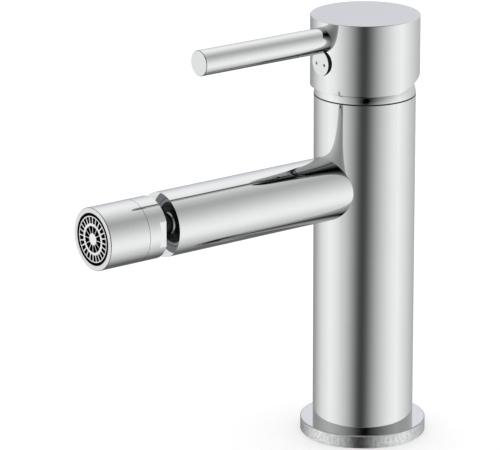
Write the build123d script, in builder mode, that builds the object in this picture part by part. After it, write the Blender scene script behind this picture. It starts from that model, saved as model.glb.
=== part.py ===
from build123d import *
from math import atan2, cos, degrees, radians, sqrt, tan
import os

# A single lever basin mixer: a round column on a knurled base ring, a straight level spout
# with a ball jointed aerator at its end, and a drum handle with a rod lever on a ceramic
# disc cartridge. Millimetres. +Z is up, the spout and the lever point along -Y, and the
# origin is the middle of the underside, where the tap stands on its deck.

os.makedirs("parts", exist_ok=True)

# Clearances
close_fit = 0.05
loose_fit = 0.3
running_fit = 0.08
overcut = 1.0

# Cartridge, from its seals up to the shoulder that its nut holds
cartridge_radius = 14.0
cartridge_wall = 1.8
cartridge_base_thickness = 4.0
disc_thickness = 3.0
disc_film = 0.05
disc_carrier_height = 4.35
spindle_play = 0.2
spindle_flange_thickness = 2.4
housing_roof_thickness = 1.9
housing_collar_wall = 2.1
housing_collar_rise = 3.2
spindle_radius = 8.8
spindle_rise = 11.0
moving_disc_radius = 9.8
disc_offset = 1.8
peg_radius = 1.2
peg_length = 2.0
peg_offset = 11.2
disc_inlet_x = 5.2
disc_inlet_y = -3.2
disc_inlet_radius = 2.0
mixing_pocket_offset = 1.8
mixing_pocket_width = 13.2
mixing_pocket_length = 6.8
mixing_pocket_corner = 2.0
mixing_pocket_depth = 1.5
port_seal_section = 0.6
disc_seal_section = 0.5
seal_land = 0.1
passage_height = 1.4
spindle_seal_section = 0.7

# Lever stem and its pivot
pivot_rise = 6.0
pin_radius = 1.5
blade_width = 6.0
blade_gap = 0.1
square_side = 8.0
square_rise = 5.0
square_length = 12.8
tip_radius = 2.0
tip_neck_thickness = 2.8
tip_neck_length = 2.1
slot_floor = 0.85
lift_swing = 16.0

# Nut that holds the cartridge, and the domed collar over it
nut_skirt_wall = 1.7
nut_rise = 4.5
nut_skirt_length = 6.8
nut_slot_width = 4.0
nut_slot_depth = 2.0
collar_skirt_wall = 1.1
collar_skirt_length = 3.6
collar_rise = 2.1
collar_wall = 2.0
dome_radius = 9.0
dome_opening_gap = 0.4
seam_gap = 0.3
seam_washer_inset = 0.4

# Column, its waterways and its base
mouth_wall = 2.55
floor_web = 8.6
base_ring_overhang = 5.0
base_ring_height = 5.25
base_edge = 0.3
base_spigot_radius = 16.0
gasket_inner_radius = 19.0
gasket_width = 3.4
gasket_thickness = 1.6
inlet_offset = 9.2
inlet_thread_radius = 4.5
inlet_thread_depth = 14.0
waterway_radius = 2.6
fixing_offset = 11.0
fixing_thread_radius = 3.4
fixing_thread_depth = 22.0

# Spout
spout_height = 103.4
spout_radius = 12.6
spout_reach = 99.0
spout_bore_radius = 8.0
spout_root_radius = 8.0
spout_root_depth = 9.5
outlet_chamber_radius = 6.0
outlet_port_offset = 4.6
outlet_port_radius = 2.8
root_bore_length = 14.5
stem_thread_radius = 7.0
stem_thread_length = 12.0
stem_shank_length = 9.0
stem_seal_section = 0.7

# Ball joint and the aerator's two housings
ball_radius = 8.2
ball_distance = 10.0
ball_front_flat = 6.3
ball_neck_radius = 5.2
ball_bore_radius = 3.2
ball_bore_mouth = 4.4
seat_film = 0.05
seat_thickness = 0.95
rear_seat_inset = 1.8
rear_seat_length = 1.9
front_seat_inset = 1.25
housing_radius = 12.13
rear_gap = 5.2
rear_housing_length = 8.0
spanner_flat_length = 3.0
spanner_flat_depth = 1.05
housing_thread_radius = 10.6
housing_thread_length = 2.8
housing_seam = 0.15
front_housing_length = 17.85
front_edge = 0.3
seat_length = 5.6
seat_bore_radius = 6.4
seal_section_radius = 0.8
shoulder_thickness = 1.2
shoulder_bore_radius = 6.0

# Aerator insert
insert_radius = 10.1
washer_thickness = 1.0
flow_plate_thickness = 1.5
flow_hole_radius = 0.6
flow_hole_count = 20
insert_wall = 1.9
insert_shoulder_length = 6.2
grille_radius = 9.0
grille_thickness = 1.3
grille_recess = 0.05
grille_rim = 0.5
outer_slot_inner_radius = 6.2
inner_slot_outer_radius = 5.0
hub_radius = 2.4
outer_slot_count = 24
inner_slot_count = 12
outer_bar_width = 0.6
inner_bar_width = 0.32
screen_thickness = 0.3
screen_pitch = 2.0
screen_hole = 1.3
screen_hole_rows = 7
screen_reach = 6.5

# Handle
cap_overhang = 1.5
cap_height = 27.9
cap_wall = 1.6
cap_top_edge = 0.2
collar_reveal = 3.8
cavity_radius = 16.5
cavity_clearance = 1.5
rear_cut_angle = 16.0
lever_radius = 5.0
lever_reach = 80.5
lever_drop = 7.4
lever_seat_depth = 3.0
lever_end_edge = 0.3
lever_stud_radius = 3.0
lever_stud_half_length = 9.0
plug_drop = 8.95
plug_radius = 4.95
plug_gap = 0.1
plug_thickness = 3.4
plug_rise = 0.75
plug_peg_radius = 2.3
plug_peg_length = 3.5
dot_radius = 0.6
dot_depth = 0.4
dot_inset = 0.1
dot_offset = 2.4
dot_drop = 0.5
grub_radius = 2.5
grub_length = 5.0
grub_socket_width = 2.5
grub_socket_depth = 2.5
grub_tip_edge = 0.6

# Radii of the pieces that nest round the cartridge, out to the column
chamber_radius = cartridge_radius + loose_fit
nut_radius = chamber_radius + nut_skirt_wall
collar_skirt_inner = nut_radius + loose_fit
collar_skirt_outer = collar_skirt_inner + collar_skirt_wall
mouth_radius = collar_skirt_outer + close_fit
column_radius = mouth_radius + mouth_wall
base_ring_radius = column_radius + base_ring_overhang
cap_radius = column_radius + cap_overhang
cap_mouth_radius = cap_radius - cap_wall
housing_bore = cartridge_radius - cartridge_wall
neck_bore = spindle_radius + running_fit

# Heights up the column
floor_height = spout_height + outlet_chamber_radius + floor_web
base_top = floor_height + cartridge_base_thickness
fixed_disc_top = base_top + disc_thickness
moving_disc_bottom = fixed_disc_top + disc_film
moving_disc_top = moving_disc_bottom + disc_thickness
disc_carrier_top = moving_disc_top + disc_carrier_height
flange_bottom = disc_carrier_top + spindle_play
flange_top = flange_bottom + spindle_flange_thickness
roof_bottom = flange_top + spindle_play / 2
shoulder_height = roof_bottom + housing_roof_thickness
seam_height = shoulder_height + collar_rise
column_top = seam_height - seam_gap
collar_ledge = seam_height - collar_skirt_length
pivot_height = shoulder_height + pivot_rise
tip_height = moving_disc_top + slot_floor + spindle_play + tip_radius
dome_top = seam_height + dome_radius
cap_bottom = seam_height + collar_reveal
cap_top = cap_bottom + cap_height
lever_height = cap_top - lever_drop
plug_height = lever_height - plug_drop
spindle_seal_height = shoulder_height + housing_collar_rise / 2
dome_centre_radius = column_radius - dome_radius
dome_opening = spindle_radius + dome_opening_gap

# Distances out along the spout
ball_centre = spout_reach + ball_distance
rear_face = spout_reach + rear_gap
housing_split = rear_face + rear_housing_length
front_start = housing_split + housing_seam
outlet_reach = front_start + front_housing_length
seat_inner = ball_radius + seat_film
seat_outer = seat_inner + seat_thickness
socket_radius = seat_outer + running_fit
thread_start = housing_split - housing_thread_length
front_seat_start = ball_centre + front_seat_inset
front_seat_end = front_seat_start + seat_length
shoulder_start = front_seat_end + 2 * seal_section_radius + loose_fit
chamber_start = shoulder_start + shoulder_thickness
flow_plate_start = chamber_start + washer_thickness
insert_start = flow_plate_start + flow_plate_thickness
insert_step = insert_start + insert_shoulder_length
grille_face = outlet_reach - grille_recess
grille_back = grille_face - grille_thickness
insert_bore = insert_radius - insert_wall

spout_side = Plane(origin=(0, 0, spout_height), x_dir=(0, -1, 0), z_dir=(-1, 0, 0))
spout_axis = Axis((0, 0, spout_height), (0, -1, 0))
reach_all = 2 * cap_radius


def facing_front(distance, height):
    """Plane square to the Y axis, facing the front, with X across and Z up."""
    return Plane(origin=(0, -distance, height), x_dir=(1, 0, 0), z_dir=(0, -1, 0))


def sphere_at(distance, radius):
    """Radius of a ball round the joint's centre, at a distance along the spout."""
    return sqrt(radius**2 - (distance - ball_centre) ** 2)


def dome_height(radius):
    """Height of the domed collar at a radius from the tap's axis."""
    return seam_height + sqrt(dome_radius**2 - (radius - dome_centre_radius) ** 2)


def ring(outer, inner):
    """Flat ring for the sketch that is open."""
    Circle(outer)
    Circle(inner, mode=Mode.SUBTRACT)


def under_split(level):
    """Side outline of all that lies under a plane, level in front and rising behind."""
    rise = reach_all * tan(radians(rear_cut_angle))
    Polygon(
        (-reach_all, 0),
        (reach_all, 0),
        (reach_all, level + rise),
        (0, level),
        (-reach_all, level),
        align=None,
    )


def hollow_under_split(radius, level):
    """Round hollow, open below, whose roof follows the handle's split plane."""
    with BuildPart() as hollow:
        with BuildSketch():
            Circle(radius)
        extrude(amount=cap_top)
        with BuildSketch(Plane.YZ):
            under_split(level)
        extrude(amount=reach_all, both=True, mode=Mode.INTERSECT)
    return hollow.part


# Column: cartridge chamber on top, spout socket in the side, waterways and threads below
with BuildPart() as column:
    with BuildSketch():
        Circle(base_spigot_radius)
    extrude(amount=base_ring_height)
    with BuildSketch(Plane.XY.offset(base_ring_height)):
        Circle(column_radius)
    extrude(amount=column_top - base_ring_height)
    with BuildSketch(Plane.XY.offset(floor_height)):
        Circle(chamber_radius)
    extrude(amount=column_top - floor_height, mode=Mode.SUBTRACT)
    with BuildSketch(Plane.XY.offset(shoulder_height - nut_skirt_length - loose_fit)):
        Circle(nut_radius + close_fit)
    extrude(amount=column_top, mode=Mode.SUBTRACT)
    with BuildSketch(Plane.XY.offset(collar_ledge)):
        Circle(mouth_radius)
    extrude(amount=column_top, mode=Mode.SUBTRACT)
    with BuildSketch(Plane.XY.offset(floor_height - peg_length)):
        with Locations((0, peg_offset), (0, -peg_offset)):
            Circle(peg_radius + close_fit)
    extrude(amount=peg_length, mode=Mode.SUBTRACT)
    with BuildSketch(facing_front(spout_root_depth, spout_height)):
        Circle(spout_root_radius + close_fit)
    extrude(amount=column_radius, mode=Mode.SUBTRACT)
    with BuildSketch(facing_front(spout_root_depth, spout_height)):
        Circle(outlet_chamber_radius)
    chamber_depth = spout_root_depth + outlet_port_offset + outlet_port_radius
    extrude(amount=-chamber_depth, mode=Mode.SUBTRACT)
    with BuildSketch(Plane.XY.offset(floor_height)):
        with Locations((0, outlet_port_offset)):
            Circle(outlet_port_radius)
    extrude(amount=spout_height - floor_height, mode=Mode.SUBTRACT)
    with BuildSketch():
        with Locations((inlet_offset, 0), (-inlet_offset, 0)):
            Circle(waterway_radius)
    extrude(amount=floor_height, mode=Mode.SUBTRACT)
    with BuildSketch():
        with Locations((inlet_offset, 0), (-inlet_offset, 0)):
            Circle(inlet_thread_radius)
    extrude(amount=inlet_thread_depth, mode=Mode.SUBTRACT)
    with BuildSketch():
        with Locations((0, -fixing_offset)):
            Circle(fixing_thread_radius)
    extrude(amount=fixing_thread_depth, mode=Mode.SUBTRACT)
column.part.label = "column"
export_step(column.part, "parts/column.step")

# Base ring: the wide ring that the column stands on, over the deck hole
with BuildPart() as base_ring:
    with BuildSketch():
        ring(base_ring_radius, base_spigot_radius + close_fit)
    extrude(amount=base_ring_height)
    rim_edges = base_ring.edges().filter_by(GeomType.CIRCLE).filter_by(
        lambda edge: edge.radius > column_radius
    )
    chamfer(rim_edges, length=base_edge)
    with BuildSketch():
        ring(gasket_inner_radius + gasket_width, gasket_inner_radius)
    extrude(amount=gasket_thickness, mode=Mode.SUBTRACT)
base_ring.part.label = "base_ring"
export_step(base_ring.part, "parts/base_ring.step")

# Base gasket: flat rubber ring let into the underside of the base ring
with BuildPart() as base_gasket:
    with BuildSketch():
        ring(gasket_inner_radius + gasket_width - close_fit, gasket_inner_radius + close_fit)
    extrude(amount=gasket_thickness)
base_gasket.part.label = "base_gasket"
export_step(base_gasket.part, "parts/base_gasket.step")

# Spout tube: coped to the column, with a root that is brazed into its socket
with BuildPart() as spout_tube:
    with BuildSketch(facing_front(0, spout_height)):
        Circle(spout_radius)
    extrude(amount=spout_reach)
    with BuildSketch():
        Circle(column_radius)
    extrude(amount=cap_top, mode=Mode.SUBTRACT)
    with BuildSketch(facing_front(spout_root_depth, spout_height)):
        Circle(spout_root_radius)
    extrude(amount=column_radius - spout_root_depth + overcut)
    with BuildSketch(facing_front(spout_root_depth, spout_height)):
        Circle(outlet_chamber_radius)
    extrude(amount=root_bore_length, mode=Mode.SUBTRACT)
    with BuildSketch(facing_front(spout_root_depth + root_bore_length, spout_height)):
        Circle(spout_bore_radius)
    bore_end = spout_reach - stem_thread_length
    extrude(amount=bore_end - spout_root_depth - root_bore_length, mode=Mode.SUBTRACT)
    with BuildSketch(facing_front(bore_end, spout_height)):
        Circle(stem_thread_radius + close_fit)
    extrude(amount=stem_thread_length, mode=Mode.SUBTRACT)
spout_tube.part.label = "spout_tube"
export_step(spout_tube.part, "parts/spout_tube.step")

# Collar ring: the domed cover between the column and the handle
with BuildPart() as collar_ring:
    with BuildSketch(Plane.XZ):
        inner_dome = dome_radius - collar_wall
        skirt_top = seam_height + sqrt(inner_dome**2 - (collar_skirt_inner - dome_centre_radius) ** 2)
        with BuildLine():
            Polyline(
                (collar_skirt_inner, skirt_top),
                (collar_skirt_inner, collar_ledge),
                (collar_skirt_outer, collar_ledge),
                (collar_skirt_outer, seam_height),
                (column_radius, seam_height),
            )
            RadiusArc((column_radius, seam_height), (dome_centre_radius, dome_top), -dome_radius)
            Polyline(
                (dome_centre_radius, dome_top),
                (dome_opening, dome_top),
                (dome_opening, dome_top - collar_wall),
                (dome_centre_radius, dome_top - collar_wall),
            )
            RadiusArc(
                (dome_centre_radius, dome_top - collar_wall),
                (collar_skirt_inner, skirt_top),
                inner_dome,
            )
        make_face()
    revolve(axis=Axis.Z)
collar_ring.part.label = "collar_ring"
export_step(collar_ring.part, "parts/collar_ring.step")

# Seam washer: thin plastic ring that shows as a dark line under the collar
with BuildPart() as seam_washer:
    with BuildSketch(Plane.XY.offset(column_top)):
        ring(column_radius - seam_washer_inset, mouth_radius)
    extrude(amount=seam_gap)
seam_washer.part.label = "seam_washer"
export_step(seam_washer.part, "parts/seam_washer.step")

# Cartridge nut: screws into the column and presses on the cartridge's shoulder
with BuildPart() as cartridge_nut:
    with BuildSketch(Plane.XY.offset(shoulder_height - nut_skirt_length)):
        ring(nut_radius, chamber_radius)
    extrude(amount=nut_skirt_length)
    nut_bore = neck_bore + housing_collar_wall + loose_fit
    with BuildSketch(Plane.XY.offset(shoulder_height)):
        ring(nut_radius, nut_bore)
    extrude(amount=nut_rise)
    with BuildSketch(Plane.XY.offset(shoulder_height + nut_rise - nut_slot_depth)):
        with PolarLocations((nut_radius + nut_bore) / 2, 4):
            Rectangle(2 * (nut_radius - nut_bore), nut_slot_width)
    extrude(amount=nut_slot_depth, mode=Mode.SUBTRACT)
cartridge_nut.part.label = "cartridge_nut"
export_step(cartridge_nut.part, "parts/cartridge_nut.step")

# Places of the ports in the cartridge's base and in its fixed disc
disc_inlets = [(disc_inlet_x, disc_inlet_y), (-disc_inlet_x, disc_inlet_y)]
base_inlets = [(inlet_offset, 0), (-inlet_offset, 0)]
outlets = [(0, outlet_port_offset)]
port_seal_inner = waterway_radius + seal_land
passage_bottom = floor_height + 2 * port_seal_section + seal_land
passage_run = sqrt((inlet_offset - disc_inlet_x) ** 2 + disc_inlet_y**2)
passage_turn = degrees(atan2(-disc_inlet_y, inlet_offset - disc_inlet_x))


def seal_rings(places, port_radius, section, fit):
    """Square section seals round some ports, smaller than their grooves by a fit."""
    with Locations(*places):
        Circle(port_radius + seal_land + 2 * section - fit)
        Circle(port_radius + seal_land + fit, mode=Mode.SUBTRACT)


def port_side_rings(fit):
    """Seals between the base and the column's floor."""
    seal_rings(base_inlets, waterway_radius, port_seal_section, fit)
    seal_rings(outlets, outlet_port_radius, port_seal_section, fit)


def disc_side_rings(fit):
    """Seals between the base and the fixed disc."""
    seal_rings(disc_inlets, disc_inlet_radius, disc_seal_section, fit)
    seal_rings(outlets, outlet_port_radius, disc_seal_section, fit)


# Cartridge base: brings the two inlets and the outlet from the column to the discs
with BuildPart() as cartridge_base:
    with BuildSketch(Plane.XY.offset(floor_height)):
        Circle(cartridge_radius)
    extrude(amount=cartridge_base_thickness)
    with BuildSketch(Plane.XY.offset(floor_height - peg_length)):
        with Locations((0, peg_offset), (0, -peg_offset)):
            Circle(peg_radius)
    extrude(amount=peg_length)
    with BuildSketch(Plane.XY.offset(floor_height)):
        with Locations(*base_inlets):
            Circle(waterway_radius)
    extrude(amount=passage_bottom - floor_height, mode=Mode.SUBTRACT)
    with BuildSketch(Plane.XY.offset(passage_bottom)):
        for side in (1, -1):
            middle = (side * (inlet_offset + disc_inlet_x) / 2, disc_inlet_y / 2, 0)
            with Locations(Location(middle, (0, 0, side * passage_turn))):
                SlotCenterToCenter(passage_run, 2 * disc_inlet_radius)
    extrude(amount=passage_height, mode=Mode.SUBTRACT)
    with BuildSketch(Plane.XY.offset(passage_bottom)):
        with Locations(*disc_inlets):
            Circle(disc_inlet_radius)
    extrude(amount=base_top - passage_bottom, mode=Mode.SUBTRACT)
    with BuildSketch(Plane.XY.offset(floor_height)):
        with Locations(*outlets):
            Circle(outlet_port_radius)
    extrude(amount=cartridge_base_thickness, mode=Mode.SUBTRACT)
    with BuildSketch(Plane.XY.offset(floor_height)):
        port_side_rings(0)
    extrude(amount=2 * port_seal_section, mode=Mode.SUBTRACT)
    with BuildSketch(Plane.XY.offset(base_top)):
        disc_side_rings(0)
    extrude(amount=-2 * disc_seal_section, mode=Mode.SUBTRACT)
cartridge_base.part.label = "cartridge_base"
export_step(cartridge_base.part, "parts/cartridge_base.step")

# Port seals: the three rings between the cartridge's base and the column's floor
with BuildPart() as port_seals:
    with BuildSketch(Plane.XY.offset(floor_height)):
        port_side_rings(close_fit)
    extrude(amount=2 * port_seal_section)
port_seals.part.label = "port_seals"
export_step(port_seals.part, "parts/port_seals.step")

# Disc seals: the three rings between the base and the fixed ceramic disc
with BuildPart() as disc_seals:
    with BuildSketch(Plane.XY.offset(base_top)):
        disc_side_rings(close_fit)
    extrude(amount=-2 * disc_seal_section)
disc_seals.part.label = "disc_seals"
export_step(disc_seals.part, "parts/disc_seals.step")

# Fixed disc: ceramic, lies on the base inside the housing
with BuildPart() as fixed_disc:
    with BuildSketch(Plane.XY.offset(base_top)):
        Circle(housing_bore - loose_fit)
        with Locations(*disc_inlets):
            Circle(disc_inlet_radius, mode=Mode.SUBTRACT)
        with Locations(*outlets):
            Circle(outlet_port_radius, mode=Mode.SUBTRACT)
    extrude(amount=disc_thickness)
fixed_disc.part.label = "fixed_disc"
export_step(fixed_disc.part, "parts/fixed_disc.step")

# Moving disc: ceramic, with the mixing pocket in its underside
with BuildPart() as moving_disc:
    with BuildSketch(Plane.XY.offset(moving_disc_bottom)):
        with Locations((0, disc_offset)):
            Circle(moving_disc_radius)
    extrude(amount=disc_thickness)
    with BuildSketch(Plane.XY.offset(moving_disc_bottom)):
        with Locations((0, disc_offset + mixing_pocket_offset)):
            RectangleRounded(mixing_pocket_width, mixing_pocket_length, mixing_pocket_corner)
    extrude(amount=mixing_pocket_depth, mode=Mode.SUBTRACT)
moving_disc.part.label = "moving_disc"
export_step(moving_disc.part, "parts/moving_disc.step")

# Disc carrier: plastic plate on the moving disc, with the slot that the stem's tip drives
with BuildPart() as disc_carrier:
    with BuildSketch(Plane.XY.offset(moving_disc_top)):
        with Locations((0, disc_offset)):
            Circle(moving_disc_radius)
    extrude(amount=disc_carrier_height)
    with BuildSketch(Plane.XY.offset(moving_disc_top + slot_floor)):
        Rectangle(blade_width + 2 * blade_gap, 2 * (tip_radius + blade_gap))
    extrude(amount=disc_carrier_height, mode=Mode.SUBTRACT)
disc_carrier.part.label = "disc_carrier"
export_step(disc_carrier.part, "parts/disc_carrier.step")

# Cartridge housing: shell round the discs, with the collar that the spindle turns in
with BuildPart() as cartridge_housing:
    with BuildSketch(Plane.XY.offset(base_top)):
        ring(cartridge_radius, housing_bore)
    extrude(amount=roof_bottom - base_top)
    with BuildSketch(Plane.XY.offset(roof_bottom)):
        ring(cartridge_radius, neck_bore)
    extrude(amount=housing_roof_thickness)
    with BuildSketch(Plane.XY.offset(shoulder_height)):
        ring(neck_bore + housing_collar_wall, neck_bore)
    extrude(amount=housing_collar_rise)
cartridge_housing.part.label = "cartridge_housing"
export_step(cartridge_housing.part, "parts/cartridge_housing.step")

# Swing of the stem in the spindle's slot, measured at the slot's two ends
swing = radians(lift_swing)
blade_half = blade_width / 2
slot_front = blade_half / cos(swing) + (pivot_height - flange_bottom) * tan(swing) + blade_gap
spindle_top = flange_top + spindle_rise
slot_back = blade_half / cos(swing) + (spindle_top - pivot_height) * tan(swing) + blade_gap

# Spindle carrier: turns with the handle in the housing and holds the pivot pin
with BuildPart() as spindle_carrier:
    with BuildSketch(Plane.XY.offset(flange_bottom)):
        Circle(housing_bore - running_fit)
    extrude(amount=spindle_flange_thickness)
    with BuildSketch(Plane.XY.offset(flange_top)):
        Circle(spindle_radius)
    extrude(amount=spindle_top - flange_top)
    with BuildSketch(Plane.XY.offset(flange_bottom)):
        with Locations((0, (slot_back - slot_front) / 2)):
            Rectangle(blade_width + 2 * blade_gap, slot_back + slot_front)
    extrude(amount=spindle_top - flange_bottom, mode=Mode.SUBTRACT)
    with BuildSketch(Plane.YZ):
        with Locations((0, pivot_height)):
            Circle(pin_radius)
    extrude(amount=spindle_radius, both=True, mode=Mode.SUBTRACT)
    with BuildSketch(Plane.XY.offset(spindle_seal_height - spindle_seal_section)):
        ring(spindle_radius, spindle_radius - 2 * spindle_seal_section)
    extrude(amount=2 * spindle_seal_section, mode=Mode.SUBTRACT)
spindle_carrier.part.label = "spindle_carrier"
export_step(spindle_carrier.part, "parts/spindle_carrier.step")

# Spindle seal: rubber ring in the spindle's groove
with BuildPart() as spindle_seal:
    with BuildSketch(Plane.XZ):
        with Locations((spindle_radius - spindle_seal_section, spindle_seal_height)):
            Circle(spindle_seal_section)
    revolve(axis=Axis.Z)
spindle_seal.part.label = "spindle_seal"
export_step(spindle_seal.part, "parts/spindle_seal.step")

# Pivot pin: crosses the spindle carrier and the stem
with BuildPart() as pivot_pin:
    with BuildSketch(Plane.YZ):
        with Locations((0, pivot_height)):
            Circle(pin_radius)
    extrude(amount=spindle_radius - loose_fit, both=True)
pivot_pin.part.label = "pivot_pin"
export_step(pivot_pin.part, "parts/pivot_pin.step")

# Lever stem: square head in the handle, eye on the pin, round tip in the disc carrier
square_bottom = pivot_height + square_rise
with BuildPart() as lever_stem:
    with BuildSketch(Plane.XY.offset(tip_height)):
        Rectangle(blade_width, tip_neck_thickness)
    extrude(amount=tip_neck_length)
    with BuildSketch(Plane.XY.offset(tip_height + tip_neck_length)):
        Rectangle(blade_width, blade_width)
    extrude(amount=square_bottom - tip_height - tip_neck_length)
    with BuildSketch(Plane.XY.offset(square_bottom)):
        Rectangle(square_side, square_side)
    extrude(amount=square_length)
    with BuildSketch(Plane.YZ):
        with Locations((0, tip_height)):
            Circle(tip_radius)
    extrude(amount=blade_half, both=True)
    with BuildSketch(Plane.YZ):
        with Locations((0, pivot_height)):
            Circle(pin_radius + running_fit)
    extrude(amount=square_side, both=True, mode=Mode.SUBTRACT)
lever_stem.part.label = "lever_stem"
export_step(lever_stem.part, "parts/lever_stem.step")

# Hollow under the handle: a wide mouth round the dome and a narrower roof over it
wide_level = dome_height(cavity_radius) + cavity_clearance / 2
mouth_hollow = hollow_under_split(cap_mouth_radius, wide_level)
roof_hollow = hollow_under_split(cavity_radius, dome_top + cavity_clearance)
square_top = square_bottom + square_length
plug_floor = cap_radius - plug_thickness - close_fit
lever_root = cap_radius - lever_seat_depth
stud_inner = lever_root - lever_stud_half_length

# Handle cap: the drum, cut away under its back so that it can tip
with BuildPart() as handle_cap:
    with BuildSketch(Plane.XY.offset(cap_bottom)):
        Circle(cap_radius)
    extrude(amount=cap_height)
    chamfer(handle_cap.faces().sort_by(Axis.Z)[-1].edges(), length=cap_top_edge)
    with BuildSketch(Plane.YZ):
        under_split(cap_bottom)
    extrude(amount=reach_all, both=True, mode=Mode.SUBTRACT)
    add(mouth_hollow, mode=Mode.SUBTRACT)
    add(roof_hollow, mode=Mode.SUBTRACT)
    with BuildSketch(Plane.XY.offset(dome_top)):
        Rectangle(square_side + 2 * close_fit, square_side + 2 * close_fit)
    extrude(amount=square_top + close_fit - dome_top, mode=Mode.SUBTRACT)
    with BuildSketch(facing_front(0, plug_height)):
        Circle(grub_radius + close_fit)
    extrude(amount=cap_radius, mode=Mode.SUBTRACT)
    with BuildSketch(facing_front(plug_floor, plug_height)):
        Circle(plug_radius + plug_gap)
    extrude(amount=plug_thickness + overcut, mode=Mode.SUBTRACT)
    with BuildSketch(facing_front(stud_inner, lever_height)):
        Circle(lever_stud_radius + close_fit)
    extrude(amount=lever_stud_half_length, mode=Mode.SUBTRACT)
    with BuildSketch(facing_front(lever_root, lever_height)):
        Circle(lever_radius + close_fit)
    extrude(amount=lever_seat_depth + overcut, mode=Mode.SUBTRACT)
handle_cap.part.label = "handle_cap"
export_step(handle_cap.part, "parts/handle_cap.step")

# Lever rod: plain round rod with a flat end
with BuildPart() as lever_rod:
    with BuildSketch(facing_front(lever_root, lever_height)):
        Circle(lever_radius)
    extrude(amount=lever_reach - lever_root)
    fillet(lever_rod.faces().sort_by(Axis.Y)[0].edges(), radius=lever_end_edge)
    with BuildSketch(facing_front(lever_root, lever_height)):
        Circle(lever_stud_radius + close_fit)
    extrude(amount=lever_stud_half_length + overcut, mode=Mode.SUBTRACT)
lever_rod.part.label = "lever_rod"
export_step(lever_rod.part, "parts/lever_rod.step")

# Lever stud: joins the rod and the drum
with BuildPart() as lever_stud:
    with BuildSketch(facing_front(stud_inner, lever_height)):
        Circle(lever_stud_radius)
    extrude(amount=2 * lever_stud_half_length)
lever_stud.part.label = "lever_stud"
export_step(lever_stud.part, "parts/lever_stud.step")

# Grub screw: clamps the handle on the stem from behind the index plug
grub_back = square_side / 2
with BuildPart() as grub_screw:
    with BuildSketch(facing_front(grub_back, plug_height)):
        Circle(grub_radius)
    extrude(amount=grub_length)
    chamfer(grub_screw.faces().sort_by(Axis.Y)[-1].edges(), length=grub_tip_edge)
    with BuildSketch(facing_front(grub_back + grub_length, plug_height)):
        RegularPolygon(grub_socket_width / 2, 6, major_radius=False)
    extrude(amount=-grub_socket_depth, mode=Mode.SUBTRACT)
grub_screw.part.label = "grub_screw"
export_step(grub_screw.part, "parts/grub_screw.step")

# Index plug: proud button with two dimples, hollowed on top to fit under the lever
with BuildPart() as index_plug:
    with BuildSketch(facing_front(plug_floor, plug_height)):
        Circle(plug_radius)
    extrude(amount=plug_thickness + plug_rise)
    with BuildSketch(facing_front(plug_floor, lever_height)):
        Circle(lever_radius + close_fit)
    extrude(amount=plug_thickness + plug_rise, mode=Mode.SUBTRACT)
    plug_face = plug_floor + plug_thickness + plug_rise
    with BuildSketch(facing_front(plug_floor, plug_height)):
        Circle(plug_peg_radius)
    extrude(amount=-plug_peg_length)
    with BuildSketch(facing_front(plug_face - dot_depth, plug_height)):
        with Locations((dot_offset, -dot_drop), (-dot_offset, -dot_drop)):
            Circle(dot_radius)
    extrude(amount=dot_depth, mode=Mode.SUBTRACT)
index_plug.part.label = "index_plug"
export_step(index_plug.part, "parts/index_plug.step")

# Index dots: enamel in the plug's two dimples, one for each temperature
for dot_name, side in (("index_dot_left", -1), ("index_dot_right", 1)):
    with BuildPart() as index_dot:
        with BuildSketch(facing_front(plug_face - dot_depth, plug_height)):
            with Locations((side * dot_offset, -dot_drop)):
                Circle(dot_radius)
        extrude(amount=dot_depth - dot_inset)
    index_dot.part.label = dot_name
    export_step(index_dot.part, f"parts/{dot_name}.step")

# Ball stem: screws into the spout's end and carries the ball
stem_start = spout_reach - stem_shank_length
ball_front = ball_centre + ball_front_flat
seal_groove_start = stem_start + 2 * stem_seal_section
with BuildPart() as ball_stem:
    with BuildSketch(spout_side):
        neck_end = ball_centre - sqrt(ball_radius**2 - ball_neck_radius**2)
        front_radius = sphere_at(ball_front, ball_radius)
        with BuildLine():
            Polyline(
                (ball_front, ball_bore_mouth),
                (ball_front - ball_bore_mouth, ball_bore_radius),
                (stem_start, ball_bore_radius),
                (stem_start, stem_thread_radius),
                (seal_groove_start, stem_thread_radius),
                (seal_groove_start, stem_thread_radius - 2 * stem_seal_section),
                (seal_groove_start + 2 * stem_seal_section, stem_thread_radius - 2 * stem_seal_section),
                (seal_groove_start + 2 * stem_seal_section, stem_thread_radius),
                (spout_reach, stem_thread_radius),
                (spout_reach, ball_neck_radius),
                (neck_end, ball_neck_radius),
            )
            ThreePointArc(
                (neck_end, ball_neck_radius),
                (ball_centre, ball_radius),
                (ball_front, front_radius),
            )
            Line((ball_front, front_radius), (ball_front, ball_bore_mouth))
        make_face()
    revolve(axis=spout_axis)
ball_stem.part.label = "ball_stem"
export_step(ball_stem.part, "parts/ball_stem.step")

# Stem seal: rubber ring in the groove of the ball stem's shank
with BuildPart() as stem_seal:
    with BuildSketch(spout_side):
        with Locations((seal_groove_start + stem_seal_section, stem_thread_radius - stem_seal_section)):
            Circle(stem_seal_section)
    revolve(axis=spout_axis)
stem_seal.part.label = "stem_seal"
export_step(stem_seal.part, "parts/stem_seal.step")

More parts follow.
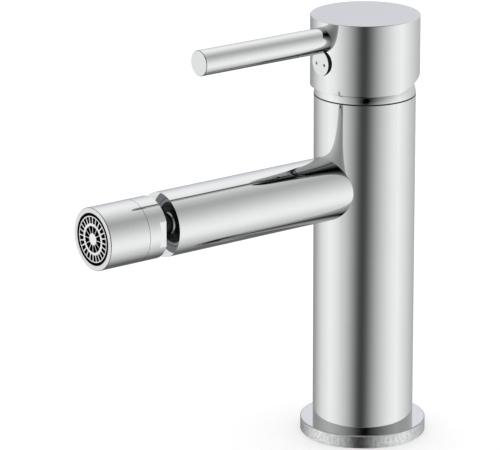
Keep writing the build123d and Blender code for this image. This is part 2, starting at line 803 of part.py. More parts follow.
# Rear seat: slippery shell between the ball and the rear housing
rear_seat_start = rear_face + rear_seat_inset
rear_seat_end = rear_seat_start + rear_seat_length
rear_seat_middle = (rear_seat_start + rear_seat_end) / 2
with BuildPart() as rear_seat:
    with BuildSketch(spout_side):
        with BuildLine():
            ThreePointArc(
                (rear_seat_start, sphere_at(rear_seat_start, seat_inner)),
                (rear_seat_middle, sphere_at(rear_seat_middle, seat_inner)),
                (rear_seat_end, sphere_at(rear_seat_end, seat_inner)),
            )
            Line(
                (rear_seat_end, sphere_at(rear_seat_end, seat_inner)),
                (rear_seat_end, sphere_at(rear_seat_end, seat_outer)),
            )
            ThreePointArc(
                (rear_seat_end, sphere_at(rear_seat_end, seat_outer)),
                (rear_seat_middle, sphere_at(rear_seat_middle, seat_outer)),
                (rear_seat_start, sphere_at(rear_seat_start, seat_outer)),
            )
            Line(
                (rear_seat_start, sphere_at(rear_seat_start, seat_outer)),
                (rear_seat_start, sphere_at(rear_seat_start, seat_inner)),
            )
        make_face()
    revolve(axis=spout_axis)
rear_seat.part.label = "rear_seat"
export_step(rear_seat.part, "parts/rear_seat.step")

# Front seat: ring that bears on the front of the ball
with BuildPart() as front_seat:
    with BuildSketch(spout_side):
        contact_end = ball_centre + sqrt(seat_inner**2 - seat_bore_radius**2)
        contact_middle = (front_seat_start + contact_end) / 2
        with BuildLine():
            ThreePointArc(
                (front_seat_start, sphere_at(front_seat_start, seat_inner)),
                (contact_middle, sphere_at(contact_middle, seat_inner)),
                (contact_end, seat_bore_radius),
            )
            Polyline(
                (contact_end, seat_bore_radius),
                (front_seat_end, seat_bore_radius),
                (front_seat_end, seat_outer),
                (front_seat_start, seat_outer),
                (front_seat_start, sphere_at(front_seat_start, seat_inner)),
            )
        make_face()
    revolve(axis=spout_axis)
front_seat.part.label = "front_seat"
export_step(front_seat.part, "parts/front_seat.step")

# Seat seal: rubber ring that presses the front seat on the ball
with BuildPart() as seat_seal:
    with BuildSketch(spout_side):
        with Locations((front_seat_end + seal_section_radius, (seat_outer + seat_bore_radius) / 2)):
            Circle(seal_section_radius)
    revolve(axis=spout_axis)
seat_seal.part.label = "seat_seal"
export_step(seat_seal.part, "parts/seat_seal.step")

# Rear housing: cup that holds the ball and its seats, with two flats for a spanner
with BuildPart() as rear_housing:
    with BuildSketch(spout_side):
        lip_radius = sphere_at(rear_face, socket_radius)
        lip_middle = (rear_face + ball_centre) / 2
        with BuildLine():
            ThreePointArc(
                (rear_face, lip_radius),
                (lip_middle, sphere_at(lip_middle, socket_radius)),
                (ball_centre, socket_radius),
            )
            Polyline(
                (ball_centre, socket_radius),
                (thread_start, socket_radius),
                (thread_start, housing_thread_radius + close_fit),
                (housing_split, housing_thread_radius + close_fit),
                (housing_split, housing_radius),
                (rear_face, housing_radius),
                (rear_face, lip_radius),
            )
        make_face()
    revolve(axis=spout_axis)
    with BuildSketch(facing_front(rear_face - overcut, spout_height)):
        with Locations((housing_radius, 0), (-housing_radius, 0)):
            Rectangle(2 * spanner_flat_depth, 2 * housing_radius)
    extrude(amount=spanner_flat_length + overcut, mode=Mode.SUBTRACT)
rear_housing.part.label = "rear_housing"
export_step(rear_housing.part, "parts/rear_housing.step")

# Front housing: sleeve that screws into the rear one and holds the aerator
insert_chamber = insert_radius + close_fit
with BuildPart() as front_housing:
    with BuildSketch(spout_side):
        with BuildLine():
            Polyline(
                (thread_start + close_fit, socket_radius),
                (shoulder_start, socket_radius),
                (shoulder_start, shoulder_bore_radius),
                (chamber_start, shoulder_bore_radius),
                (chamber_start, insert_chamber),
                (outlet_reach, insert_chamber),
                (outlet_reach, housing_radius),
                (front_start, housing_radius),
                (front_start, housing_thread_radius),
                (thread_start + close_fit, housing_thread_radius),
                close=True,
            )
        make_face()
    revolve(axis=spout_axis)
    mouth_edges = front_housing.faces().sort_by(Axis.Y)[0].edges().sort_by(SortBy.RADIUS)
    fillet(mouth_edges[-1], radius=front_edge)
front_housing.part.label = "front_housing"
export_step(front_housing.part, "parts/front_housing.step")

# Aerator washer: flat rubber ring on the housing's shoulder
with BuildPart() as aerator_washer:
    with BuildSketch(facing_front(chamber_start, spout_height)):
        ring(insert_radius, shoulder_bore_radius)
    extrude(amount=washer_thickness)
aerator_washer.part.label = "aerator_washer"
export_step(aerator_washer.part, "parts/aerator_washer.step")

# Flow plate: plastic disc whose small holes break the stream
with BuildPart() as flow_plate:
    with BuildSketch(facing_front(flow_plate_start, spout_height)):
        Circle(insert_radius)
        with PolarLocations(shoulder_bore_radius - 2 * flow_hole_radius, flow_hole_count):
            Circle(flow_hole_radius, mode=Mode.SUBTRACT)
    extrude(amount=flow_plate_thickness)
flow_plate.part.label = "flow_plate"
export_step(flow_plate.part, "parts/flow_plate.step")

# Aerator body: sleeve that holds the screens and the grille
with BuildPart() as aerator_body:
    with BuildSketch(facing_front(insert_start, spout_height)):
        ring(insert_radius, insert_bore)
    extrude(amount=insert_shoulder_length)
    with BuildSketch(facing_front(insert_step, spout_height)):
        ring(grille_radius - close_fit, insert_bore)
    extrude(amount=grille_back - insert_step)
aerator_body.part.label = "aerator_body"
export_step(aerator_body.part, "parts/aerator_body.step")

# Mesh screens: two perforated steel discs across the sleeve
screen_span = insert_shoulder_length / 3
with BuildPart() as mesh_screens:
    for row in (1, 2):
        with BuildSketch(facing_front(insert_start + row * screen_span, spout_height)):
            Circle(insert_bore - close_fit)
            with GridLocations(screen_pitch, screen_pitch, screen_hole_rows, screen_hole_rows) as grid:
                places = [place for place in grid.local_locations if place.position.length < screen_reach]
            with Locations(*places):
                Rectangle(screen_hole, screen_hole, mode=Mode.SUBTRACT)
        extrude(amount=screen_thickness)
mesh_screens.part.label = "mesh_screens"
export_step(mesh_screens.part, "parts/mesh_screens.step")

# Aerator grille: the face of the outlet, a hub and two rings of radial slots
with BuildPart() as aerator_grille:
    with BuildSketch(facing_front(grille_back, spout_height)):
        slot_outer_radius = grille_radius - grille_rim
        ring(grille_radius, slot_outer_radius)
        Circle(outer_slot_inner_radius)
        Circle(inner_slot_outer_radius, mode=Mode.SUBTRACT)
        Circle(hub_radius)
        with PolarLocations((slot_outer_radius + outer_slot_inner_radius) / 2, outer_slot_count):
            Rectangle(slot_outer_radius - outer_slot_inner_radius + grille_rim, outer_bar_width)
        with PolarLocations((inner_slot_outer_radius + hub_radius) / 2, inner_slot_count):
            Rectangle(inner_slot_outer_radius - hub_radius + grille_rim, inner_bar_width)
    extrude(amount=grille_thickness)
aerator_grille.part.label = "aerator_grille"
export_step(aerator_grille.part, "parts/aerator_grille.step")
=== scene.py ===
import math

import bpy
from mathutils import Matrix, Vector


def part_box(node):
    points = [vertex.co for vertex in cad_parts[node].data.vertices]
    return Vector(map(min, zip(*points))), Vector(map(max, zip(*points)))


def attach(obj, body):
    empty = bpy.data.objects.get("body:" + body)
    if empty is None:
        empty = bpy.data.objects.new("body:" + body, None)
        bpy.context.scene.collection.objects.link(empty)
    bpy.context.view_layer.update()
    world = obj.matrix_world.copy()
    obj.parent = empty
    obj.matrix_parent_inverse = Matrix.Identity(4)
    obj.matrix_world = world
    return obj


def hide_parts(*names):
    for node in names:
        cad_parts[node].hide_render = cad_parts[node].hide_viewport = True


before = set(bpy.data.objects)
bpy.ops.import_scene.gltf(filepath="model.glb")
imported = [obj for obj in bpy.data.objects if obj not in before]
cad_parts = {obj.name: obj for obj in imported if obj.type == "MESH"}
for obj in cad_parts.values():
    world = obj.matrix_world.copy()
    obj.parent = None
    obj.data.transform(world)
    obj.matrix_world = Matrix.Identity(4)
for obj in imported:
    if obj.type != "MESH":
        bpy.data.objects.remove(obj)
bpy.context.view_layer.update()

# Sizes that the materials go by, in metres, and the number of the knurl's grooves
spout_axis_height = 0.1034
ring_radius = 0.025
ring_height = 0.00525
knurl_count = 144
taper_start = 0.10225
taper_end = 0.10285

quarter_turn = math.pi / 2.0
full_turn = math.pi * 2.0
to_front = (0.0, -1.0, 0.0)
to_back = (0.0, 1.0, 0.0)


# Shader maths
class Value:
    """A number socket that Python's operators work on."""

    def __init__(self, bench, socket):
        self.bench = bench
        self.socket = socket

    def joined(self, operation, first, second=0.0):
        maths = self.bench.node("ShaderNodeMath", {"operation": operation}, {0: first, 1: second})
        return Value(self.bench, maths.outputs[0])

    def __add__(self, other):
        return self.joined("ADD", self, other)

    def __radd__(self, other):
        return self.joined("ADD", other, self)

    def __sub__(self, other):
        return self.joined("SUBTRACT", self, other)

    def __rsub__(self, other):
        return self.joined("SUBTRACT", other, self)

    def __mul__(self, other):
        return self.joined("MULTIPLY", self, other)

    def __rmul__(self, other):
        return self.joined("MULTIPLY", other, self)

    def __pow__(self, other):
        return self.joined("POWER", self, other)

    def __rpow__(self, other):
        return self.joined("POWER", other, self)

    def size(self):
        return self.joined("ABSOLUTE", self)

    def exponential(self):
        return self.joined("EXPONENT", self)

    def cosine(self):
        return self.joined("COSINE", self)

    def turn_from(self, other):
        return self.joined("ARCTAN2", self, other)

    def at_least(self, other):
        return self.joined("MAXIMUM", self, other)

    def eased(self, start, end):
        ramp = self.bench.node(
            "ShaderNodeMapRange",
            {"interpolation_type": "SMOOTHSTEP"},
            {"Value": self, "From Min": start, "From Max": end},
        )
        return Value(self.bench, ramp.outputs["Result"])

    def within(self, low, high, soft=0.00003):
        return self.eased(low - soft, low + soft) * (1.0 - self.eased(high - soft, high + soft))


class Bench:
    """The node tree of one material, or of the world."""

    def __init__(self, owner):
        owner.use_nodes = True
        self.tree = owner.node_tree
        self.tree.nodes.clear()

    def node(self, kind, settings=None, sockets=None):
        made = self.tree.nodes.new(kind)
        for name, setting in (settings or {}).items():
            setattr(made, name, setting)
        for name, given in (sockets or {}).items():
            self.feed(made.inputs[name], given)
        return made

    def feed(self, socket, given):
        if isinstance(given, Value):
            given = given.socket
        if isinstance(given, bpy.types.NodeSocket):
            self.tree.links.new(given, socket)
        elif isinstance(given, tuple) and socket.type == "RGBA":
            socket.default_value = (*given, 1.0)
        else:
            socket.default_value = given

    def value(self, node, name):
        return Value(self, node.outputs[name])

    def place(self):
        return self.node("ShaderNodeTexCoord").outputs["Object"]

    def place_axes(self):
        split = self.node("ShaderNodeSeparateXYZ", None, {0: self.place()})
        return [self.value(split, axis) for axis in range(3)]

    def stretched(self, scale):
        mapping = self.node("ShaderNodeMapping", None, {"Vector": self.place(), "Scale": scale})
        return mapping.outputs[0]

    def noise(self, scale, detail=2.0, roughness=0.5, place=None):
        grain = self.node("ShaderNodeTexNoise", None, {
            "Vector": place or self.place(),
            "Scale": scale,
            "Detail": detail,
            "Roughness": roughness,
        })
        return self.value(grain, "Fac")

    def dot(self, vector, direction):
        product = self.node(
            "ShaderNodeVectorMath",
            {"operation": "DOT_PRODUCT"},
            {0: vector, 1: direction},
        )
        return self.value(product, "Value")

    def turned_to(self, direction):
        """Cosine of the angle between the surface's normal and a direction."""
        return self.dot(self.node("ShaderNodeTexCoord").outputs["Normal"], direction)

    def facing(self, direction):
        return self.turned_to(direction).eased(0.8, 0.95)

    def blend(self, amount, first, second):
        mix = self.node(
            "ShaderNodeMix",
            {"data_type": "RGBA"},
            {"Factor": amount, 6: first, 7: second},
        )
        return mix.outputs[2]

    def bump(self, height, distance, strength):
        made = self.node(
            "ShaderNodeBump",
            None,
            {"Height": height, "Distance": distance, "Strength": strength},
        )
        return made.outputs[0]

    def surface(self, sockets):
        shader = self.node("ShaderNodeBsdfPrincipled", None, sockets)
        self.node("ShaderNodeOutputMaterial", None, {"Surface": shader.outputs[0]})


def new_material(name):
    made = bpy.data.materials.new(name)
    return made, Bench(made)


# Chrome: a faint mottling in tone and relief, and what single pieces have on top of it, which is
# painted shade, a painted dark reflection and painted glints
chrome_tones = ((0.842, 0.866, 0.862), (0.856, 0.878, 0.876))
black_tones = ((0.008, 0.008, 0.008), (0.02, 0.02, 0.02))


def mist_on(bench):
    return bench.noise(scale=900.0, detail=2.0, roughness=0.6)


def mottled(bench, amount, tones):
    return bench.blend(amount.eased(0.3, 0.7), *tones)


def chrome_relief(bench, mist):
    return bench.bump(mist, distance=0.000002, strength=0.15)


def polished_chrome(name):
    made, bench = new_material(name)
    wiping = bench.noise(scale=90.0, detail=3.0)
    mist = mist_on(bench)
    bench.surface({
        "Base Color": mottled(bench, wiping, chrome_tones),
        "Metallic": 1.0,
        "Roughness": 0.03 + wiping * 0.012 + mist * 0.008,
        "Normal": chrome_relief(bench, mist),
    })
    return made


def chrome_with_painted_dark_chamfer(name):
    """Chrome with its chamfer round the front end coloured near black, as a painted dark reflection.
    """
    made, bench = new_material(name)
    forward = bench.turned_to(to_front)
    # painted dark reflection: the front chamfer's chrome is coloured near black
    chamfer = forward.eased(0.3, 0.45) * (1.0 - forward.eased(0.85, 0.95))
    mist = mist_on(bench)
    bench.surface({
        "Base Color": bench.blend(chamfer, mottled(bench, mist, chrome_tones), (0.06, 0.06, 0.06)),
        "Metallic": 1.0,
        "Roughness": 0.035 + mist * 0.014 + chamfer * 0.1,
        "Normal": chrome_relief(bench, mist),
    })
    return made


def black_balled_stem(name):
    """Neck darkened as painted shade, pale taper and black ball, one after the other along the spout.
    """
    made, bench = new_material(name)
    along = 0.0 - bench.place_axes()[1]
    soft = 0.00002
    taper = along.eased(taper_start - soft, taper_start + soft)
    ball = along.eased(taper_end - soft, taper_end + soft)
    mist = mist_on(bench)
    # painted shade: the neck's chrome is darkened to a dim grey mirror
    neck = mottled(bench, mist, ((0.24, 0.25, 0.25), (0.3, 0.31, 0.31)))
    bare = bench.blend(taper, neck, (0.7, 0.72, 0.72))
    bench.surface({
        "Base Color": bench.blend(ball, bare, bench.blend(mist, *black_tones)),
        "Metallic": 1.0 - ball,
        "Roughness": 0.04 + mist * 0.02 + ball * 0.1,
        "Normal": chrome_relief(bench, mist),
    })
    return made


def chrome_with_painted_shade_line(name):
    """Chrome with a thin near-black ring on the face that points to the spout, as painted shade."""
    line_radius, line_core, line_edge = 0.0093, 0.00008, 0.00016
    made, bench = new_material(name)
    sideways, _, height = bench.place_axes()
    upward = height - spout_axis_height
    reach = (sideways * sideways + upward * upward) ** 0.5
    # painted shade: a thin near-black ring, not metal, at line_radius on the face
    on_line = 1.0 - (reach - line_radius).size().eased(line_core, line_edge)
    line = on_line * bench.facing(to_back)
    mist = mist_on(bench)
    bench.surface({
        "Base Color": bench.blend(line, mottled(bench, mist, chrome_tones), (0.02, 0.02, 0.02)),
        "Metallic": 1.0 - line,
        "Roughness": 0.03 + mist * 0.014 + line * 0.3,
        "Normal": chrome_relief(bench, mist),
    })
    return made


def plug_with_painted_side_shade(name):
    """Chrome face; the button's sides are near black, as painted shade."""
    made, bench = new_material(name)
    face = bench.facing(to_front)
    mist = mist_on(bench)
    # painted shade: everything that doesn't face the front is near black and not metal
    black = bench.blend(mist, *black_tones)
    bench.surface({
        "Base Color": bench.blend(face, black, mottled(bench, mist, chrome_tones)),
        "Metallic": face,
        "Roughness": 0.5 - face * 0.46,
        "Specular IOR Level": 0.15,
        "Normal": chrome_relief(bench, mist),
    })
    return made


def knurled_chrome(name):
    """Chrome with painted light for the knurl: painted shade in grey cuts and a painted mottle of
    darker reflections on the side, and along its top edge matte pale teeth as painted glints between
    notches of painted shade.
    """
    cut_shade_grey, notch_shade_dark = (0.52, 0.535, 0.53), (0.1, 0.1, 0.1)
    hatch_share, blotch_share = 0.35, 0.65
    edge_start, edge_end = 0.0004, 0.0003
    made, bench = new_material(name)
    sideways, back, height = bench.place_axes()
    turn = back.turn_from(sideways) * knurl_count
    rise = height * (knurl_count / ring_radius)
    hatch = (turn + rise).cosine().at_least((turn - rise).cosine()).at_least(0.0)
    blotch = bench.noise(scale=1200.0, detail=2.0, roughness=0.7).eased(0.44, 0.62)
    reach = (sideways * sideways + back * back) ** 0.5
    side = reach.eased(ring_radius - edge_start, ring_radius - edge_end)
    # painted shade and a painted mottle of darker reflections: the grooves and random blotches turn
    # the side's chrome grey
    cut = (hatch * hatch * hatch_share + blotch * blotch_share) * side
    edge = side * height.eased(ring_height - edge_start, ring_height - edge_end)
    # painted glints and painted shade along the top edge: matte pale teeth between near-black notches
    teeth = turn.cosine().eased(-0.1, 0.5)
    painted_tooth_glint = edge * teeth
    painted_notch_shade = edge * (1.0 - teeth)
    mist = mist_on(bench)
    knurled = bench.blend(cut, mottled(bench, mist, chrome_tones), cut_shade_grey)
    bench.surface({
        "Base Color": bench.blend(painted_notch_shade, knurled, notch_shade_dark),
        "Metallic": 1.0 - painted_tooth_glint,
        "Roughness": 0.035 + mist * 0.014 + cut * 0.06 + painted_tooth_glint * 0.5,
        "Normal": chrome_relief(bench, mist),
    })
    return made


# Other metals
def turned_brass(name):
    made, bench = new_material(name)
    rings = bench.noise(1.0, 2.0, 0.6, bench.stretched((40.0, 40.0, 9000.0)))
    stain = bench.noise(scale=220.0, detail=4.0)
    bench.surface({
        "Base Color": bench.blend(stain, (0.72, 0.5, 0.2), (0.86, 0.66, 0.34)),
        "Metallic": 1.0,
        "Roughness": 0.24 + stain * 0.16,
        "Normal": bench.bump(rings, distance=0.00001, strength=0.5),
    })
    return made


def drawn_steel(name):
    made, bench = new_material(name)
    drawn = bench.noise(1.0, 3.0, 0.6, bench.stretched((5000.0, 300.0, 5000.0)))
    bench.surface({
        "Base Color": bench.blend(drawn, (0.5, 0.49, 0.47), (0.63, 0.62, 0.6)),
        "Metallic": 1.0,
        "Roughness": 0.22 + drawn * 0.14,
        "Normal": bench.bump(drawn, distance=0.000006, strength=0.5),
    })
    return made


# Rubber, plastics and ceramics
def moulded(name, tones, roughness, grain_scale, grain_depth, shine=0.5):
    made, bench = new_material(name)
    cloud = bench.noise(scale=160.0, detail=3.0)
    grain = bench.noise(scale=grain_scale, detail=3.0, roughness=0.6)
    bench.surface({
        "Base Color": mottled(bench, cloud * 0.6 + grain * 0.4, tones),
        "Roughness": roughness + grain * 0.16,
        "Specular IOR Level": shine,
        "Normal": bench.bump(grain, distance=grain_depth, strength=0.6),
    })
    return made


def grille_with_painted_shade(name):
    """Outlet face: pale hub, bars and rings; their side walls, the margins of the bars and the
    openings between them are near black, as painted shade.
    """
    outer_bars, outer_bar_edge, outer_bar_span = 24, (0.00018, 0.00024), (0.006, 0.0087)
    inner_bars, inner_bar_edge, inner_bar_span = 12, (0.00008, 0.00013), (0.0022, 0.0052)
    middle_ring, rim, hub_edge = (0.00511, 0.00609), (0.00858, 0.00892), (0.00227, 0.00233)
    made, bench = new_material(name)
    sideways, _, height = bench.place_axes()
    upward = height - spout_axis_height
    reach = (sideways * sideways + upward * upward) ** 0.5
    turn = upward.turn_from(sideways)

    def bars(count, edge, span):
        off_bar = reach * (turn * (count / 2) - quarter_turn).cosine().size() * (2 / count)
        return (1.0 - off_bar.eased(*edge)) * reach.within(*span)

    raised_part = bars(outer_bars, outer_bar_edge, outer_bar_span)
    raised_part = raised_part.at_least(bars(inner_bars, inner_bar_edge, inner_bar_span))
    raised_part = raised_part.at_least(reach.within(*middle_ring)).at_least(reach.within(*rim))
    raised_part = raised_part.at_least(1.0 - reach.eased(*hub_edge))
    # painted shade: only the front faces inside raised_part stay pale, the walls and the bars'
    # margins go near black
    face = bench.facing(to_front) * raised_part
    cloud = bench.noise(scale=160.0, detail=3.0)
    grain = bench.noise(scale=3000.0, detail=3.0, roughness=0.6)
    pale = mottled(bench, cloud, ((0.84, 0.85, 0.85), (0.9, 0.9, 0.9)))
    dark = bench.blend(grain, (0.004, 0.004, 0.004), (0.01, 0.01, 0.01))
    bench.surface({
        "Base Color": bench.blend(face, dark, pale),
        "Roughness": 0.42 + grain * 0.14,
        "Specular IOR Level": 0.06,
        "Normal": bench.bump(grain, distance=0.000004, strength=0.6),
    })
    return made


# Finishes by the frame's slots, and the ones that single pieces have of their own, each with painted
# shade or a painted dark reflection in its colour
finishes = {
    "polished_chrome": polished_chrome("chrome_plating"),
    "brass": turned_brass("turned_brass"),
    "stainless_steel": drawn_steel("drawn_steel"),
    "black_rubber": moulded(
        "seal_rubber",
        tones=((0.012, 0.012, 0.012), (0.03, 0.03, 0.031)),
        roughness=0.55,
        grain_scale=3500.0,
        grain_depth=0.00001,
    ),
    "cartridge_white": moulded(
        "cartridge_plastic",
        tones=((0.72, 0.72, 0.7), (0.82, 0.82, 0.8)),
        roughness=0.35,
        grain_scale=2500.0,
        grain_depth=0.000006,
    ),
    "carrier_grey": moulded(
        "carrier_plastic",
        tones=((0.2, 0.21, 0.22), (0.29, 0.3, 0.31)),
        roughness=0.4,
        grain_scale=2500.0,
        grain_depth=0.000006,
    ),
    "ceramic_disc": moulded(
        "lapped_ceramic",
        tones=((0.78, 0.76, 0.72), (0.86, 0.84, 0.8)),
        roughness=0.12,
        grain_scale=4000.0,
        grain_depth=0.000002,
    ),
    "dark_plastic": moulded(
        "dark_sleeve_plastic",
        tones=((0.016, 0.016, 0.017), (0.034, 0.034, 0.035)),
        roughness=0.34,
        grain_scale=3000.0,
        grain_depth=0.000006,
    ),
    "grey_enamel": moulded(
        "grey_enamel",
        tones=((0.16, 0.17, 0.18), (0.22, 0.23, 0.24)),
        roughness=0.15,
        grain_scale=4000.0,
        grain_depth=0.000003,
    ),
    "black_enamel": moulded(
        "black_enamel",
        tones=((0.008, 0.008, 0.009), (0.018, 0.018, 0.02)),
        roughness=0.12,
        grain_scale=4000.0,
        grain_depth=0.000003,
    ),
}
# Black for the washer under the collar, brought out flush so that it draws the seam's shadow line:
# painted shadow
seam_shadow_black = moulded(
    "seam_washer_painted_shadow",
    tones=((0.004, 0.004, 0.004), (0.01, 0.01, 0.01)),
    roughness=0.6,
    grain_scale=3500.0,
    grain_depth=0.000004,
)
# Near black for the pieces behind the outlet's openings, put there as painted shade in the recess
recess_shade_black = moulded(
    "recess_painted_shade",
    tones=((0.005, 0.005, 0.005), (0.012, 0.012, 0.012)),
    roughness=0.6,
    grain_scale=3000.0,
    grain_depth=0.000004,
    shine=0.06,
)
# Near black and glossy: the seat's colour is painted shade in the groove round the ball
seat_shade_black = moulded(
    "seat_painted_shade",
    tones=((0.01, 0.01, 0.01), (0.025, 0.025, 0.025)),
    roughness=0.16,
    grain_scale=3000.0,
    grain_depth=0.000004,
)
piece_finishes = {
    # outlet grille: pale face with painted shade on its walls and bar margins
    "aerator_grille": grille_with_painted_shade("grille_with_painted_shade"),
    # the pieces behind the outlet's openings: painted shade
    "flow_plate": recess_shade_black,
    "mesh_screens": recess_shade_black,
    "aerator_body": recess_shade_black,
    # index plug: chrome face with painted shade on its sides
    "index_plug": plug_with_painted_side_shade("plug_with_painted_side_shade"),
    # lever and front housing: chrome with a painted dark reflection on the front chamfer
    "lever_rod": chrome_with_painted_dark_chamfer("lever_chrome"),
    "front_housing": chrome_with_painted_dark_chamfer("housing_chrome"),
    # rear housing: chrome with a painted shade line on its face
    "rear_housing": chrome_with_painted_shade_line("chrome_with_painted_shade_line"),
}
for name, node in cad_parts.items():
    for slot in node.material_slots:
        slot_name = slot.material.name.split(".")[0]
        slot.material = piece_finishes.get(name) or finishes[slot_name]


# Turned pieces
def lathe(name, profile, around, axis_height=None, cut=None):
    """Piece turned from a closed profile of radii and places on the axis, Z or the spout's.

    A cut takes a row, an angle and a place on the axis, and gives the depth to take off there.
    """
    points = []
    for row, (radius, along) in enumerate(profile):
        for step in range(around):
            angle = full_turn * step / around
            reach = radius - cut(row, angle, along) if cut else radius
            across, other = reach * math.cos(angle), reach * math.sin(angle)
            if axis_height is None:
                points.append((across, other, along))
            else:
                points.append((across, -along, axis_height + other))
    faces = []
    for row in range(len(profile)):
        above = (row + 1) % len(profile)
        for step in range(around):
            after = (step + 1) % around
            corners = ((row, step), (row, after), (above, after), (above, step))
            faces.append([corner_row * around + place for corner_row, place in corners])
    mesh = bpy.data.meshes.new(name)
    mesh.from_pydata(points, [], faces)
    piece = bpy.data.objects.new(name, mesh)
    bpy.context.collection.objects.link(piece)
    return piece


def shade_smooth(piece, around, start, end):
    """Smooth shading, with a sharp edge at every row but those inside start and end."""
    mesh = piece.data
    mesh.polygons.foreach_set("use_smooth", [True] * len(mesh.polygons))
    smooth_rows = range(start + 1, end - 1)
    for edge in mesh.edges:
        first_row, second_row = edge.vertices[0] // around, edge.vertices[1] // around
        edge.use_edge_sharp = first_row == second_row and first_row not in smooth_rows


def knurled_base_ring():
    """The base ring, with two crossing sets of slanted grooves cut into its side."""
    steps_per_groove = 6
    knurl_rows = 28
    knurl_depth = 0.00004
    ring_edge = 0.00014
    ring_bore = 0.01605
    gasket_inner = 0.019
    gasket_fit = 0.00005
    low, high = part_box("base_ring")
    outer, bottom, top = high[0], low[2], high[2]
    gasket_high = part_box("base_gasket")[1]
    gasket_outer, gasket_top = gasket_high[0] + gasket_fit, gasket_high[2]
    side_start = bottom + ring_edge
    side_height = top - ring_edge - side_start
    profile = [
        (ring_bore, bottom),
        (gasket_inner, bottom),
        (gasket_inner, gasket_top),
        (gasket_outer, gasket_top),
        (gasket_outer, bottom),
        (outer - ring_edge, bottom),
    ]
    knurl_start = len(profile)
    for row in range(knurl_rows + 1):
        profile.append((outer, side_start + side_height * row / knurl_rows))
    knurl_end = len(profile)
    profile += [(outer - ring_edge, top), (ring_bore, top)]
    pitch = full_turn * outer / knurl_count

    def knurl(row, angle, height):
        if not knurl_start <= row < knurl_end:
            return 0.0
        turn, rise = angle * knurl_count, full_turn * height / pitch
        leaning = max(0.0, math.cos(turn + rise)) ** 2
        crossing = max(0.0, math.cos(turn - rise)) ** 2
        return knurl_depth * max(leaning, crossing)

    around = knurl_count * steps_per_groove
    piece = lathe("base_ring_knurled", profile, around, cut=knurl)
    shade_smooth(piece, around, knurl_start, knurl_end)
    piece.data.materials.append(knurled_chrome("knurled_chrome"))
    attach(piece, "tap_body")
    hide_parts("base_ring")


def flush_seam_washer():
    """The washer under the collar, brought out to the column's side with a lip on top; its black
    draws the seam's line, as a painted shadow line.
    """
    inner = 0.0175
    proud = 0.00003
    lip_height, lip_width = 0.00025, 0.00004
    rebate_height, rebate_depth = 0.00008, 0.00005
    low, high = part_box("seam_washer")
    bottom, top = low[2], high[2]
    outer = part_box("column")[1][0] + proud
    lip = top + lip_height
    profile = [
        (inner, bottom),
        (outer - rebate_depth, bottom),
        (outer - rebate_depth, bottom + rebate_height),
        (outer, bottom + rebate_height),
        (outer, lip),
        (outer - lip_width, lip),
        (outer - lip_width, top),
        (inner, top),
    ]
    piece = lathe("seam_washer_flush", profile, around=256)
    piece.data.materials.append(seam_shadow_black)
    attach(piece, "tap_body")
    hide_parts("seam_washer")


# The ball joint: places on its axis are distances in front of the column's middle
ball_middle = 0.109
joint_around = 128


def long_rear_seat():
    """The shell round the ball, which reaches further towards the spout than the CAD seat, near black
    and glossy, as painted shade in the groove.
    """
    inner, outer = 0.00825, 0.0092
    start = 0.10355
    end = -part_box("rear_seat")[0][1]
    steps = 12
    profile = []
    for radius, order in ((outer, range(steps + 1)), (inner, range(steps, -1, -1))):
        for step in order:
            along = start + (end - start) * step / steps
            profile.append((math.sqrt(radius ** 2 - (along - ball_middle) ** 2), along))
    piece = lathe("rear_seat_long", profile, joint_around, spout_axis_height)
    piece.data.materials.append(seat_shade_black)
    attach(piece, "tilting_seat")
    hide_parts("rear_seat")


def slender_ball_stem():
    """The ball on its stem, with a slimmer neck than the CAD stem's."""
    bore_radius, mouth_radius, mouth_depth = 0.0032, 0.0044, 0.0012
    thread_radius, groove_radius, groove_start, groove_end = 0.007, 0.0056, 0.0014, 0.0028
    neck_radius, neck_start, taper_rise = 0.0039, 0.099, 0.0003
    ball_radius, ball_start_radius = 0.0082, 0.0062
    steps = 32
    low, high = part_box("ball_stem")
    start, end = -high[1], -low[1]
    profile = [
        (bore_radius, start),
        (thread_radius, start),
        (thread_radius, start + groove_start),
        (groove_radius, start + groove_start),
        (groove_radius, start + groove_end),
        (thread_radius, start + groove_end),
        (thread_radius, neck_start),
        (neck_radius, neck_start),
        (neck_radius, taper_start),
        (neck_radius + taper_rise, taper_end),
    ]
    ball_start = len(profile)
    first = math.asin(ball_start_radius / ball_radius)
    last = math.pi - math.acos((end - ball_middle) / ball_radius)
    for step in range(steps + 1):
        turn = first + (last - first) * step / steps
        along = ball_middle - ball_radius * math.cos(turn)
        profile.append((ball_radius * math.sin(turn), along))
    ball_end = len(profile)
    profile += [(mouth_radius, end), (bore_radius, end - mouth_depth)]
    piece = lathe("ball_stem_slender", profile, joint_around, spout_axis_height)
    shade_smooth(piece, joint_around, ball_start, ball_end)
    piece.data.materials.append(black_balled_stem("black_balled_stem"))
    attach(piece, "tap_body")
    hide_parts("ball_stem")


knurled_base_ring()
flush_seam_washer()
long_rear_seat()
slender_ball_stem()


# Studio: strengths follow from the tones that the photo's chrome mirrors
camera_azimuth = 50.98
# Azimuth from the camera's side and elevation in degrees, strength, and tightness
light_fields = [
    (175.5, 41.3, 0.744, 3.33),
    (47.6, 23.3, -0.834, 1.84),
    (-154.0, 20.6, -1.041, 0.766),
    (-178.0, -60.8, -0.663, 5.41),
    (4.5, -3.8, -0.24, 12.2),
    (-8.3, -41.2, -0.521, 18.5),
]
side_azimuth, side_dip = 78.2, -0.041
# Strength in the middle, what the sides add to it, and the power that it grows with
front_light = (0.824, 0.911, 1.716)
rear_light = (1.232, 0.449, 4.548)
light_per_mirroring = 0.57


def heading_of(azimuth, elevation):
    turn = math.radians(camera_azimuth + azimuth)
    rise = math.radians(elevation)
    return (math.sin(turn) * math.cos(rise), -math.cos(turn) * math.cos(rise), math.sin(rise))


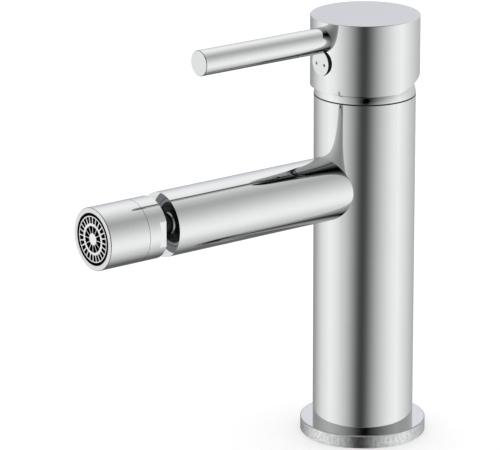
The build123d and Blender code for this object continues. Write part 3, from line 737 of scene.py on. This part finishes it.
def studio_world():
    """Light for what is mirrored, and plain white light for all the rest."""
    world = bpy.data.worlds.new("studio")
    bpy.context.scene.world = world
    bench = Bench(world)
    heading = bench.node("ShaderNodeTexCoord").outputs["Generated"]
    ahead = bench.dot(heading, heading_of(0.0, 0.0))
    side = Vector((*heading_of(side_azimuth, 0.0)[:2], side_dip)).normalized()
    across = bench.dot(heading, side).size()

    def graded(middle, added, power):
        return middle + added * across ** power

    front, rear = graded(*front_light), graded(*rear_light)
    light = rear + (front - rear) * ahead.eased(-0.12, 0.12)
    for azimuth, elevation, strength, tightness in light_fields:
        nearness = bench.dot(heading, heading_of(azimuth, elevation)) - 1.0
        light = light + strength * (tightness * nearness).exponential()
    seen = bench.node("ShaderNodeLightPath")
    dimming = light_per_mirroring ** (bench.value(seen, "Glossy Depth") - 1.0)
    cool = (0.0 - ahead).eased(0.85, 0.97)
    studio = bench.node("ShaderNodeBackground", None, {
        "Color": bench.blend(cool, (1.0, 1.0, 0.995), (1.0, 1.0, 1.07)),
        "Strength": light.at_least(0.0) * dimming,
    })
    plain = bench.node("ShaderNodeBackground", None, {"Color": (1.0, 1.0, 1.0), "Strength": 1.0})
    both = bench.node("ShaderNodeMixShader", None, {
        0: bench.value(seen, "Is Glossy Ray"),
        1: plain.outputs[0],
        2: studio.outputs[0],
    })
    bench.node("ShaderNodeOutputWorld", None, {"Surface": both.outputs[0]})


def pale_floor():
    """White floor that keeps the shadow, lifted a little where the camera sees it."""
    reach = 4.0
    lift = (0.23, 0.23, 0.23)
    mesh = bpy.data.meshes.new("floor")
    corners = [(-reach, -reach, 0.0), (reach, -reach, 0.0), (reach, reach, 0.0), (-reach, reach, 0.0)]
    mesh.from_pydata(corners, [], [(0, 1, 2, 3)])
    floor = bpy.data.objects.new("floor", mesh)
    bpy.context.collection.objects.link(floor)
    floor.visible_glossy = False
    made, bench = new_material("pale_floor")
    speckle = bench.noise(scale=400.0, detail=3.0)
    camera_ray = bench.value(bench.node("ShaderNodeLightPath"), "Is Camera Ray")
    bench.surface({
        "Base Color": bench.blend(speckle, (0.86, 0.86, 0.86), (0.88, 0.88, 0.88)),
        "Roughness": 0.9,
        "Emission Color": bench.blend(camera_ray, (0.0, 0.0, 0.0), lift),
        "Emission Strength": 1.0,
        "Specular IOR Level": 0.0,
    })
    mesh.materials.append(made)


def photo_camera():
    """The camera that the photo's outlines were fitted to: angles in degrees, lens in mm."""
    heading, dip, roll = 52.857, 16.886, -0.126
    data = bpy.data.cameras.new("photo_camera")
    camera = bpy.data.objects.new("photo_camera", data)
    bpy.context.collection.objects.link(camera)
    camera.location = (1.0662, -0.8641, 0.5014)
    turned = Matrix.Rotation(math.radians(heading), 4, "Z")
    dipped = Matrix.Rotation(math.radians(90.0 - dip), 4, "X")
    rolled = Matrix.Rotation(math.radians(roll), 4, "Z")
    camera.rotation_euler = (turned @ dipped @ rolled).to_euler()
    data.sensor_width = 36.0
    data.lens = 260.86
    data.clip_start = 0.05
    data.clip_end = 50.0
    bpy.context.scene.camera = camera


studio_world()
pale_floor()
photo_camera()
bpy.context.scene.view_settings.view_transform = "Standard"
